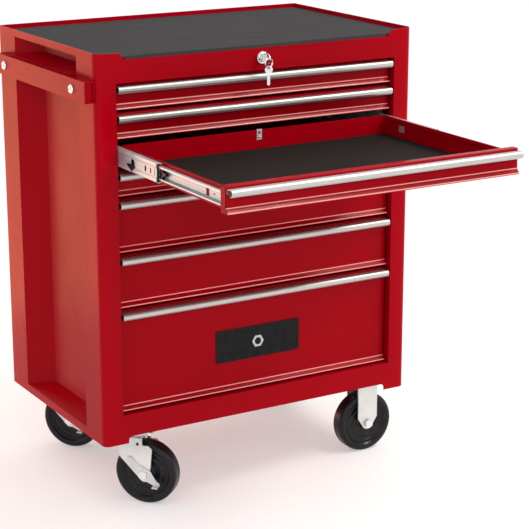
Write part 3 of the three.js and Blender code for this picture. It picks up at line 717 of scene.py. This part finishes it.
def slide_holes(kind, front, back, level):
    """The outlines of a member's holes, in Y and Z, placed from its ends."""
    if kind == "middle":
        slots = ((46, 6.4, 11), (26, 4.6, 10), (11, 2.2, 13))
        return [circle(7.5 * MM, 28, (front + 95 * MM, level)),
                *(upright_slot(width * MM, height * MM, (front + place * MM, level))
                  for place, width, height in slots),
                circle(4 * MM, 20, (back - 60 * MM, level))]
    window = rectangle((front + 50 * MM, level - 7 * MM), (front + 61 * MM, level + 7 * MM))
    return [rounded(window, 1 * MM, closed=True), slot_outline(6 * MM, 3 * MM, (front + 33 * MM, level)),
            circle(2.6 * MM, 20, (back - 60 * MM, level))]


def slide_member(number, kind, side, material, plastic):
    """A middle or inner member, with the small pieces that it carries."""
    low, high = member_box(number, kind, side)
    near, far = (low.x, high.x) if SIDES[side] > 0 else (high.x, low.x)
    web, flange = (far, near) if kind == "middle" else (near, far)
    solid = prism(slide_section(web, flange, low.z, high.z), "y", low.y, high.y)
    cuts = [prism(hole, "x", web - HOLE_REACH, web + HOLE_REACH)
            for hole in slide_holes(kind, low.y, high.y, (low.z + high.z) / 2)]
    body = f"drawer_{number}_middle_slides" if kind == "middle" else f"drawer_{number}"
    node = f"drawer_{number}_{kind}_slide_{side}"
    stands_for = [node] if node in frame["nodes"] else []
    piece(f"{node}_member", carved(solid, *cuts), material, body, stands_for, bevel=0.15 * MM)
    if kind == "inner":
        release_lever(number, side, low, high, web, plastic)
    else:
        end_buffer(number, side, low, high, web, plastic)
        slide_balls(number, side, low, high, web, material)


def release_lever(number, side, low, high, web, plastic):
    """The black lever in the inner member that frees the drawer, just ahead of the open middle member."""
    end, middle = low.y + LEVER_PLACE, (low.z + high.z) / 2
    near, far = sorted(web + SIDES[side] * gap for gap in (2.2 * MM, 7.6 * MM))
    head = [(end, middle - 9 * MM), (end, middle + 9 * MM), (end - 8 * MM, middle + 9 * MM),
            (end - 11 * MM, middle + 4 * MM), (end - 22 * MM, middle + 3 * MM),
            (end - 22 * MM, middle - 2 * MM), (end - 12 * MM, middle - 3 * MM),
            (end - 8 * MM, middle - 9 * MM)]
    lever = prism(rounded(head, 1.6 * MM, closed=True), "x", near, far)
    notch = prism(circle(2.4 * MM, 20, (end - 6 * MM, middle)), "x", near - 1 * MM, far + 1 * MM)
    piece(f"drawer_{number}_release_lever_{side}", carved(lever, notch), plastic, f"drawer_{number}",
          bevel=0.5 * MM)


def end_buffer(number, side, low, high, web, plastic):
    """The black stop over the front end of the middle member's web, and the wedge behind its round hole."""
    outward, middle = SIDES[side], (low.z + high.z) / 2
    start, lip, waist = low.y - 0.2 * MM, low.y + 4.5 * MM, low.y + 2.6 * MM
    half = [(start, 1 * MM), (lip, 1 * MM), (lip, 9 * MM), (waist, 11 * MM)]
    outline = [(y, low.z + rise) for y, rise in half] + [(y, high.z - drop) for y, drop in half[::-1]]
    near, far = sorted((web - outward * 2.6 * MM, web + outward * 0.2 * MM))
    stop = prism(rounded(outline, 1 * MM, closed=True), "x", near, far)
    wedge = rounded([(low.y + 80 * MM, middle - 3 * MM), (low.y + 100 * MM, low.z + 2 * MM),
                     (low.y + 124 * MM, middle - 3 * MM)], 2 * MM, closed=True)
    near, far = sorted((web - outward * 0.4 * MM, web + outward * 0.8 * MM))
    piece(f"drawer_{number}_slide_buffer_{side}", together(stop, prism(wedge, "x", near, far)), plastic,
          f"drawer_{number}_middle_slides", bevel=0.3 * MM)


def slide_balls(number, side, low, high, web, material):
    """Two rows of balls between the middle and inner members, on the middle member."""
    x = web - SIDES[side] * 6.2 * MM
    profile = arc((0, 0), BALL_RADIUS, -90, 90, 6)
    balls = [moved(lathe(profile, 12), at(x, low.y + 8 * MM + i * BALL_PITCH, z))
             for z in (low.z + 3.4 * MM, high.z - 3.4 * MM) for i in range(BALLS_IN_ROW)]
    piece(f"drawer_{number}_slide_balls_{side}", together(*balls), material,
          f"drawer_{number}_middle_slides", angle=60)


# ---------------------------------------------------------------- lock and keys


def key_solid(bow_radius, length):
    """A flat key in the XY plane, its blade along -Y, with a hole near the top of its bow."""
    thick, half = 1.8 * MM, 3.2 * MM
    notches = ((5, 0), (7.5, 1.6), (10, 0), (12, 1.2), (14.5, 0), (17, 1.8), (19.5, 0))
    teeth = [(half - depth * MM, place * MM - length) for place, depth in notches]
    gap = math.degrees(math.asin(half / bow_radius))
    bow = arc((0, 0), bow_radius, gap - 90, 270 - gap, 28)
    blade = vectors([(-half, 2.5 * MM - length), (0, -length), *teeth])
    solid = prism(blade + bow, "z", -thick / 2, thick / 2)
    hole = prism(circle(2.6 * MM, 20, (0, bow_radius * 0.5)), "z", -thick, thick)
    deep, wide = -0.4 * MM, bow_radius * 0.5
    dish = lathe([(0, deep), (wide, deep), (wide, 1 * MM), (0, 1 * MM)], 28)
    return carved(solid, hole, moved(dish, at(0, -bow_radius * 0.3, thick / 2)))


def lock_ring(metal):
    """The bevelled ring round the lock's face."""
    low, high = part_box("lock_housing")
    centre = (low + high) / 2
    radius, depth = (high.x - low.x) / 2, 4 * MM
    rim = [(6.5 * MM, 0), (6.5 * MM, depth), (7.5 * MM, depth + 0.5 * MM), (radius - 3 * MM, depth),
           (radius - 0.6 * MM, depth * 0.45), (radius, 0.2 * MM), (radius, 0)]
    place = facing((0, -1, 0), (centre.x, low.y + depth, centre.z))
    piece("lock_ring", moved(lathe(rim, closed=True), place), metal, "cabinet")


def hanging_keys(metal):
    """The split ring in the bow of the key, and the spare key that hangs from it."""
    low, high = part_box("lock_housing")
    ring_radius, wire = 9 * MM, 0.8 * MM
    ring_turn, key_turn = math.radians(14), math.radians(-18)
    turns = [lathe(circle(wire, 8, (ring_radius, offset)), 40, closed=True)
             for offset in (-wire * 0.95, wire * 0.95)]
    ring_centre = Vector(((low.x + high.x) / 2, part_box("key")[0].y + 5 * MM,
                          (low.z + high.z) / 2 - ring_radius + 1.4 * MM))
    ring_place = at(*ring_centre) @ Matrix.Rotation(ring_turn, 4, "Z") @ facing((0, 1, 0))
    piece("key_ring", moved(together(*turns), ring_place), metal, "lock_barrel", angle=60)
    upright = Matrix.Rotation(key_turn, 4, "Z") @ Matrix.Rotation(math.radians(90), 4, "X")
    key_place = at(*ring_centre - Vector((0, 0, ring_radius + 3.4 * MM))) @ upright
    piece("spare_key", moved(key_solid(7.5 * MM, 30 * MM), key_place), metal, "lock_barrel",
          bevel=0.25 * MM)


def build_key(metal):
    """The key in the lock, upright, its blade in the keyway."""
    low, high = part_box("key")
    bow_radius = (high.z - low.z) / 2
    centre = Vector(((low.x + high.x) / 2, low.y + bow_radius, (low.z + high.z) / 2))
    turn = Matrix(((0, 0, 1, 0), (0, -1, 0, 0), (1, 0, 0, 0), (0, 0, 0, 1)))
    solid = moved(key_solid(bow_radius, high.y - centre.y), at(*centre) @ turn)
    piece("key_in_lock", solid, metal, "lock_barrel", ["key"], bevel=0.3 * MM)


# ---------------------------------------------------------------- castors

WHEEL_RADIUS = 62.5 * MM
WHEEL_HALF = 16 * MM
# The side of a wheel in mm from its hub to its tread: radius, and height over the tread's flat side.
WHEEL_SIDE = ((6.4, 2), (12, 2), (14, 1), (15.5, -3), (20, -5.4), (28, -6), (29.5, -4.6), (31.5, -4.6),
              (33, -6), (40, -5.6), (41.5, -4), (43.5, -3.8), (45, -5.2), (47, -4.8), (50, -1), (52.5, 0),
              (57, 0))
FORK_HALF = 22 * MM
FORK_SHEET = 3 * MM
LEVER_PLANE = -22.3 * MM
LEVER_SHEET = 2.5 * MM


def wheel_solid():
    """Hub, dished web with rings, rim and rounded tread, the same on both sides."""
    side = [(radius * MM, WHEEL_HALF + rise * MM) for radius, rise in WHEEL_SIDE]
    tread = rounded([side[-1], (WHEEL_RADIUS - 1.2 * MM, WHEEL_HALF - 2.4 * MM),
                     (WHEEL_RADIUS, WHEEL_HALF - 7 * MM), (WHEEL_RADIUS, 0)], 6 * MM, 5)
    upper = rounded(side[:-1] + tread[:1], 1.2 * MM, 3)[:-1] + tread
    lower = [Vector((point.x, -point.y)) for point in upper[-2::-1]]
    return lathe(upper + lower, 96, closed=True)


def build_wheel(place, material):
    node = f"castor_{place}_wheel"
    spin = JOINTS[f"castor_{place}_spin"]
    solid = moved(wheel_solid(), facing(spin["axis"], spin["pos_m"]))
    piece(f"{node}_body", solid, material, node, [node], angle=40)


def castor_axes(place):
    """The wheel's centre, and the castor's forward and sideways directions."""
    spin = JOINTS[f"castor_{place}_spin"]
    across = Vector(spin["axis"]).normalized()
    return Vector(spin["pos_m"]), across.cross(Vector((0, 0, 1))), across


def swivel_place(place):
    """Moves a solid made round the swivel axis, X forward and Y along the axle, to its castor."""
    _, forward, across = castor_axes(place)
    turn = Vector(JOINTS[f"castor_{place}_turn"]["pos_m"])
    columns = Matrix((forward, across, Vector((0, 0, 1)))).transposed().to_4x4()
    return at(turn.x, turn.y, 0) @ columns


def swivel_fork(place, zinc):
    """A fork bent from one sheet: a narrow crown, wide shoulders and a rounded end at the axle."""
    matrix = swivel_place(place)
    hub = matrix.inverted() @ castor_axes(place)[0]
    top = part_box(f"castor_{place}_plate")[1].z - 14 * MM
    foot, beyond = 40 * MM, 60 * MM
    bend = rounded([(-FORK_HALF, foot), (-FORK_HALF, top), (FORK_HALF, top), (FORK_HALF, foot)], 5 * MM, 6)
    sheet = prism(folded(bend, -FORK_SHEET), "x", -50 * MM, 50 * MM)
    cheek = [(-26 * MM, top + 1 * MM), (-37 * MM, top - 24 * MM), (-34 * MM, top - 44 * MM)]
    cheek += arc((hub.x, hub.z), 13 * MM, 210, 350, 12)
    cheek += [(34 * MM, top - 24 * MM), (26 * MM, top - 17 * MM), (14 * MM, top - 18 * MM),
              (13 * MM, top + 1 * MM)]
    outline = prism(rounded(cheek, 3 * MM, 3, closed=True), "y", -beyond, beyond)
    fork = combined(sheet, [outline], "INTERSECT")
    hole = block((1.5 * MM, -beyond, top - 18.5 * MM), (7 * MM, beyond, top - 13 * MM))
    pin = lathe([(0, top - 6 * MM), (9 * MM, top - 6 * MM), (9 * MM, top - 4 * MM), (6 * MM, top - 3 * MM),
                 (6 * MM, top + 12 * MM), (0, top + 12 * MM)], 32)
    solid = together(carved(fork, hole), pin)
    piece(f"castor_{place}_bent_fork", moved(solid, matrix), zinc, f"castor_{place}_swivel",
          [f"castor_{place}_fork"], bevel=0.6 * MM)


def brake_lever(place, zinc):
    """The foot lever on the axle: a round ear, a full middle and a pedal bent outwards."""
    matrix = swivel_place(place)
    hub = matrix.inverted() @ castor_axes(place)[0]
    face, middle = LEVER_PLANE - LEVER_SHEET, LEVER_PLANE - 0.6 * LEVER_SHEET
    path = arc((-28 * MM, 26 * MM), 8 * MM, 60, 230, 8) + vectors([(-16 * MM, 6 * MM)])
    path += arc((3 * MM, -2 * MM), 12 * MM, 215, 290, 6)
    path += vectors([(30 * MM, -23 * MM), (35 * MM, -18 * MM), (24 * MM, -6 * MM), (15 * MM, 9 * MM),
                     (-8 * MM, 18 * MM)])
    outline = rounded([point + Vector((hub.x, hub.z)) for point in path], 2.5 * MM, 3, closed=True)
    plate = prism(outline, "y", face, LEVER_PLANE)
    bend = rounded([(middle, hub.z - 12 * MM), (middle, hub.z - 20 * MM),
                    (LEVER_PLANE - 12 * MM, hub.z - 22 * MM)], 3 * MM, 5)
    pedal = prism(folded(bend, -2.2 * MM), "x", hub.x + 21 * MM, hub.x + 33 * MM)
    stamp = [(3.6 * MM, 0), (3.9 * MM, 0.5 * MM), (4.6 * MM, 0.5 * MM), (4.9 * MM, 0)]
    ring = moved(lathe(stamp, 24, closed=True), facing((0, -1, 0), (hub.x - 26 * MM, face, hub.z + 25 * MM)))
    piece(f"castor_{place}_foot_lever", moved(together(plate, pedal, ring), matrix), zinc,
          f"castor_{place}_brake_lever", [f"castor_{place}_brake_lever"], bevel=0.5 * MM)


def emboss_rings(place, zinc):
    """A low pressed ring on each cheek of the fork, above the axle."""
    centre, _, across = castor_axes(place)
    body = f"castor_{place}_swivel" if place in SWIVEL_CASTORS else "cabinet"
    ring = [(5.4 * MM, 0), (5.7 * MM, 0.2 * MM), (6.4 * MM, 0.2 * MM), (6.7 * MM, 0)]
    for side, name in ((-1, "outer"), (1, "inner")):
        spot = centre + across * side * FORK_HALF + Vector((0, 0, 24 * MM))
        embossed = moved(lathe(ring, 28, closed=True), facing(across * side, spot))
        piece(f"castor_{place}_{name}_emboss", embossed, zinc, body, angle=50)


def race_cover(place, zinc):
    """The round pressed cover over the swivel's balls."""
    turn = JOINTS[f"castor_{place}_turn"]["pos_m"]
    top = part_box(f"castor_{place}_plate")[1].z - 3.4 * MM
    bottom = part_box(f"castor_{place}_fork")[1].z - 12.6 * MM
    dome = [(0, top), (24.5 * MM, top), (25.4 * MM, top - 2 * MM), (25 * MM, bottom + 2.4 * MM),
            (22.5 * MM, bottom), (19 * MM, bottom), (19 * MM, bottom + 1 * MM), (8 * MM, bottom + 1 * MM),
            (8 * MM, top - 1 * MM), (0, top - 1 * MM)]
    piece(f"castor_{place}_race_cover", moved(lathe(dome, 56), at(turn[0], turn[1], 0)), zinc, "cabinet",
          bevel=0.4 * MM)


def castor_bolts(place, metal):
    """The hexagon heads under the four corners of a castor's plate, each turned a little differently."""
    centre, forward, across = castor_axes(place)
    if place in SWIVEL_CASTORS:
        plate, centre = f"castor_{place}_plate", Vector(JOINTS[f"castor_{place}_turn"]["pos_m"])
    else:
        plate = f"castor_{place}_fork"
    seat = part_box(plate)[1].z - 3 * MM
    profile = [(0, 0), (4.6 * MM, 0), (5 * MM, 0.6 * MM), (5 * MM, 3.4 * MM), (4.4 * MM, 4 * MM),
               (0, 4 * MM)]
    bolts = []
    for i in (-1, 1):
        for j in (-1, 1):
            spot = centre + forward * i * 31 * MM + across * j * 24 * MM
            turn = math.radians(20 * i + j)
            bolts.append(moved(lathe(profile, 6), facing((0, 0, -1), (spot.x, spot.y, seat), turn)))
    piece(f"castor_{place}_bolts", together(*bolts), metal, "cabinet", bevel=0.4 * MM)


def build_castor(place, rubber, zinc, metal):
    swivels = place in SWIVEL_CASTORS
    build_wheel(place, rubber)
    emboss_rings(place, zinc)
    if swivels:
        race_cover(place, zinc)
    castor_bolts(place, metal)
    dress(f"castor_{place}_axle", metal, 0.6 * MM)
    if swivels:
        dress(f"castor_{place}_plate", zinc, 0.8 * MM)
        swivel_fork(place, zinc)
        brake_lever(place, zinc)
    else:
        dress(f"castor_{place}_fork", zinc, 1 * MM, 3)


# ---------------------------------------------------------------- small pieces


def build_handle(material):
    """The push handle's channel, with a window in each end and a web set inside it."""
    node = frame["nodes"]["side_handle"]
    low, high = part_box("side_handle")
    channel = bmesh.new()
    channel.from_mesh(node.data)
    channel.transform(node.matrix_world)
    wall, depth, web = 2.4 * MM, 4 * MM, 1.2 * MM
    cuts, webs = [], []
    for edge, inward in ((low.y, 1), (high.y, -1)):
        near, far = sorted((edge - inward * wall, edge + inward * depth))
        cuts.append(block((low.x + wall, near, low.z + wall), (high.x - wall, far, high.z - wall)))
        near, far = sorted((edge + inward * depth, edge + inward * (depth + web)))
        webs.append(block((low.x + web, near, low.z + web), (high.x - web, far, high.z - web)))
    piece("side_handle_channel", together(carved(channel, *cuts), *webs), material, "cabinet",
          ["side_handle"], bevel=0.4 * MM)


def button_bolt(node, metal):
    """A domed bolt with a hexagon socket, in place of the plain one."""
    low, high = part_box(node)
    middle = (low + high) / 2
    radius, height, edge = (high.z - low.z) / 2, 5 * MM, 0.8 * MM
    angles = [math.radians(step) for step in range(0, 90, 9)]
    dome = [(0, 0), (radius, 0)]
    dome += [(radius * math.cos(a), edge + (height - edge) * math.sin(a)) for a in angles]
    dome.append((0, height))
    socket = prism(circle(2.6 * MM, 6), "z", height - 2.6 * MM, height + 2 * MM)
    head = moved(carved(lathe(dome, 40), socket), facing((-1, 0, 0), (low.x + height, middle.y, middle.z)))
    thick, length = 3.4 * MM, high.x - low.x - height
    shank = moved(lathe([(0, 0), (thick, 0), (thick, length), (0, length)], 24),
                  facing((1, 0, 0), (low.x + height - 0.5 * MM, middle.y, middle.z)))
    piece(f"{node}_domed", together(head, shank), metal, "cabinet", [node], bevel=0.25 * MM)


def back_rivets(metal):
    """Low pop rivets round the back panel's edges."""
    low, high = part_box("back_panel")
    inset, columns, rows = 9 * MM, 5, 6
    left, right = low.x + inset, high.x - inset
    bottom, top = low.z + inset, high.z - inset
    across, up = (right - left) / (columns - 1), (top - bottom) / (rows - 1)
    spots = [(left + across * i, z) for i in range(columns) for z in (bottom, top)]
    spots += [(x, bottom + up * j) for j in range(1, rows - 1) for x in (left, right)]
    profile = [(0, 1.5 * MM), (1.4 * MM, 1.4 * MM), (1.6 * MM, 0.9 * MM), (2.6 * MM, 0.9 * MM),
               (3.2 * MM, 0), (0, 0)]
    heads = [moved(lathe(profile, 20), facing((0, 1, 0), (x, high.y, z))) for x, z in spots]
    piece("back_panel_rivets", together(*heads), metal, "cabinet", angle=40)


def build_nameplate(plastic, metal):
    """A plain black plate with a raised rim and a plain hexagon nut."""
    low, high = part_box("nameplate")
    height = high.z - low.z
    centre = ((low.x + high.x) / 2, (low.z + high.z) / 2)
    corner, rim = 3 * MM, 3 * MM
    outline, window = (rounded(rectangle((low.x + inset, low.z + inset), (high.x - inset, high.z - inset)),
                               corner, 6, closed=True) for inset in (0, rim))
    plate = carved(prism(outline, "y", low.y, high.y), prism(window, "y", low.y - 1 * MM, low.y + 0.35 * MM))
    piece("nameplate_panel", plate, plastic, "drawer_7", ["nameplate"], bevel=0.25 * MM)
    nut = prism(circle(height * 0.2, 6, centre), "y", low.y - 0.2 * MM, low.y + 0.6 * MM)
    bore = prism(circle(height * 0.11, 32, centre), "y", low.y - 2 * MM, low.y + 2 * MM)
    piece("nameplate_nut", carved(nut, bore), metal, "drawer_7", bevel=0.15 * MM)


def build_top_mat(material):
    """The ribbed mat on top: a full-width sheet, and a nose that drops between the corner ears."""
    low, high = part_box("top_mat")
    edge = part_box("front_frame")[0].y + 14 * MM
    left, right = low.x + 46 * MM, high.x - 46 * MM
    bottom = high.z - 2.2 * MM
    ribs = {"pitch": 3.6 * MM, "rise": 0.55 * MM}
    main = ribbed_sheet((low.x, edge, bottom), (high.x, high.y, high.z), **ribs)
    nose = ribbed_sheet((left, low.y + 1 * MM, bottom), (right, edge, high.z), **ribs)
    drop = block((left + 12 * MM, low.y, low.z), (right - 12 * MM, low.y + 1.5 * MM, bottom + 0.5 * MM))
    piece("top_ribbed_mat", together(main, nose, drop), material, "cabinet", ["top_mat"],
          angle=60)


# ---------------------------------------------------------------- the whole cabinet


def build():
    red, lip = red_paint("red_powder_coat", 0.05), red_paint("red_glossy_lip", 0.22)
    # Painted highlight: the lip folds' pale pink colour stands in for the light that the folds catch.
    fold = red_paint("red_fold_painted_highlight", 0.8, (0.66, 0.16, 0.14), (0.76, 0.22, 0.2), (0.8, 0.3, 0.28))
    aluminium, shiny = brushed_aluminium(), chrome()
    zinc = zinc_plate("zinc_plate", (0.5, 0.5, 0.49), (0.68, 0.68, 0.68))
    blue_zinc = zinc_plate("blue_zinc_plate", (0.33, 0.39, 0.42), (0.46, 0.54, 0.57))
    top_rubber = ribbed_rubber("top_mat_rubber", (0.026, 0.025, 0.026), (0.075, 0.071, 0.073))
    # Painted shade: the drawer mats are a darker, reddish copy of the top mat's rubber. This stands in for
    # the shade inside the drawers.
    shaded_drawer_rubber = ribbed_rubber("drawer_mat_rubber_painted_shade", (0.009, 0.0065, 0.0055), (0.02, 0.015, 0.0135))
    black, plastic = wheel_black(), black_plastic()

    for node in ("front_frame", "left_side", "right_side", "back_panel", "bottom_panel", "top_panel",
                 "grip_shelf"):
        dress(node, red)
    build_handle(red)
    for node in ("left_slide_rack", "right_slide_rack", "lock_rod", "lock_bar"):
        dress(node, zinc, 0.2 * MM)
    for node in ("lock_housing", "lock_barrel"):
        dress(node, shiny, 0.3 * MM)

    for number in DRAWERS:
        drawer_front(number, red, lip, fold)
        drawer_tray(number, red)
        drawer_mat(number, shaded_drawer_rubber)
        catch_plate(number, zinc)
        drawer_pull(number, aluminium, plastic)
        for side in SIDES:
            for kind in ("middle", "inner"):
                slide_member(number, kind, side, blue_zinc, plastic)

    build_top_mat(top_rubber)
    build_nameplate(plastic, aluminium)
    back_rivets(zinc)
    build_key(shiny)
    lock_ring(shiny)
    hanging_keys(shiny)
    for node in ("side_handle_bolt_1", "side_handle_bolt_2"):
        button_bolt(node, shiny)
    for place in CASTORS:
        build_castor(place, black, zinc, shiny)


add_camera()
add_studio()
add_floor()
build()
